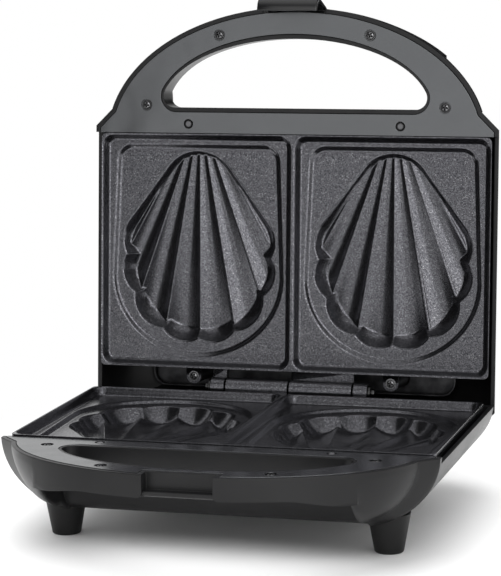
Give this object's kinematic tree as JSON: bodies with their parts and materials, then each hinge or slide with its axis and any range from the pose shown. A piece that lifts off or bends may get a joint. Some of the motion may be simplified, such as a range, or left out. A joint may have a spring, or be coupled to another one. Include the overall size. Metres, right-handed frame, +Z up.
{
  "type": "sandwich maker",
  "caption": "Hinged countertop sandwich maker shown open, with shell-shaped fluted pockets in its cast plates, handle bows with D-shaped hand holes and a swing latch.",
  "frame": {"origin": "centre of the bounding box's footprint, on the surface that the feet stand on", "axes": "+X to the right across the plates, +Y towards the hinge at the back, +Z up; the lid stands open and leans back 4.5 degrees"},
  "size_m": [0.232, 0.2622, 0.2728],
  "materials": {
    "housing": "black moulded plastic, satin",
    "handle_cover": "black moulded plastic, polished satin",
    "feet": "black moulded plastic, matt",
    "latch": "black moulded plastic, glossy",
    "plate": "die-cast, dark grey speckled non-stick coating",
    "screws": "black oxide",
    "heater": "heat-tinted steel sheath",
    "sheet": "aluminised sheet steel",
    "fittings": "plated steel",
    "pin": "plain steel",
    "insulator": "cream moulded plastic",
    "gland": "black moulded plastic",
    "red_lens": "clear red",
    "green_lens": "clear green",
    "lamp": "clear glass"
  },
  "bodies": {
    "base": {"base_shell": "housing", "base_handle_cover": "handle_cover", "foot_front_left": "feet", "foot_front_right": "feet", "foot_rear_left": "feet", "foot_rear_right": "feet", "base_plate": "plate", "base_cover_screws": "screws", "base_plate_screws": "screws", "base_shield_screws": "screws", "cord_clamp_screws": "screws", "base_heater": "heater", "base_heat_shield": "sheet", "thermostat": "fittings", "hinge_pin": "pin", "hinge_pin_clips": "pin", "terminal_block": "insulator", "cord_clamp": "insulator", "cord_gland": "gland"},
    "lid": {"lid_shell": "housing", "lid_handle_cover": "handle_cover", "lid_cover_screws": "screws", "lid_plate": "plate", "lid_plate_screws": "screws", "lid_heater": "heater", "lid_heat_shield": "sheet", "lid_shield_screws": "screws", "thermal_fuse": "fittings", "power_lens": "red_lens", "ready_lens": "green_lens", "power_lamp": "lamp", "ready_lamp": "lamp", "latch_pin": "pin"},
    "latch": {"latch_clip": "latch"}
  },
  "joints": [
    {"name": "lid_hinge", "type": "hinge", "parent": "base", "child": "lid", "pos_m": [0, 0.08189, 0.054], "axis": [1, 0, 0], "range_deg": [0, 94.5]},
    {"name": "latch_pivot", "type": "hinge", "parent": "lid", "child": "latch", "pos_m": [0, 0.10501, 0.26233], "axis": [-1, 0, 0], "range_deg": [-17, 50]}
  ]
}
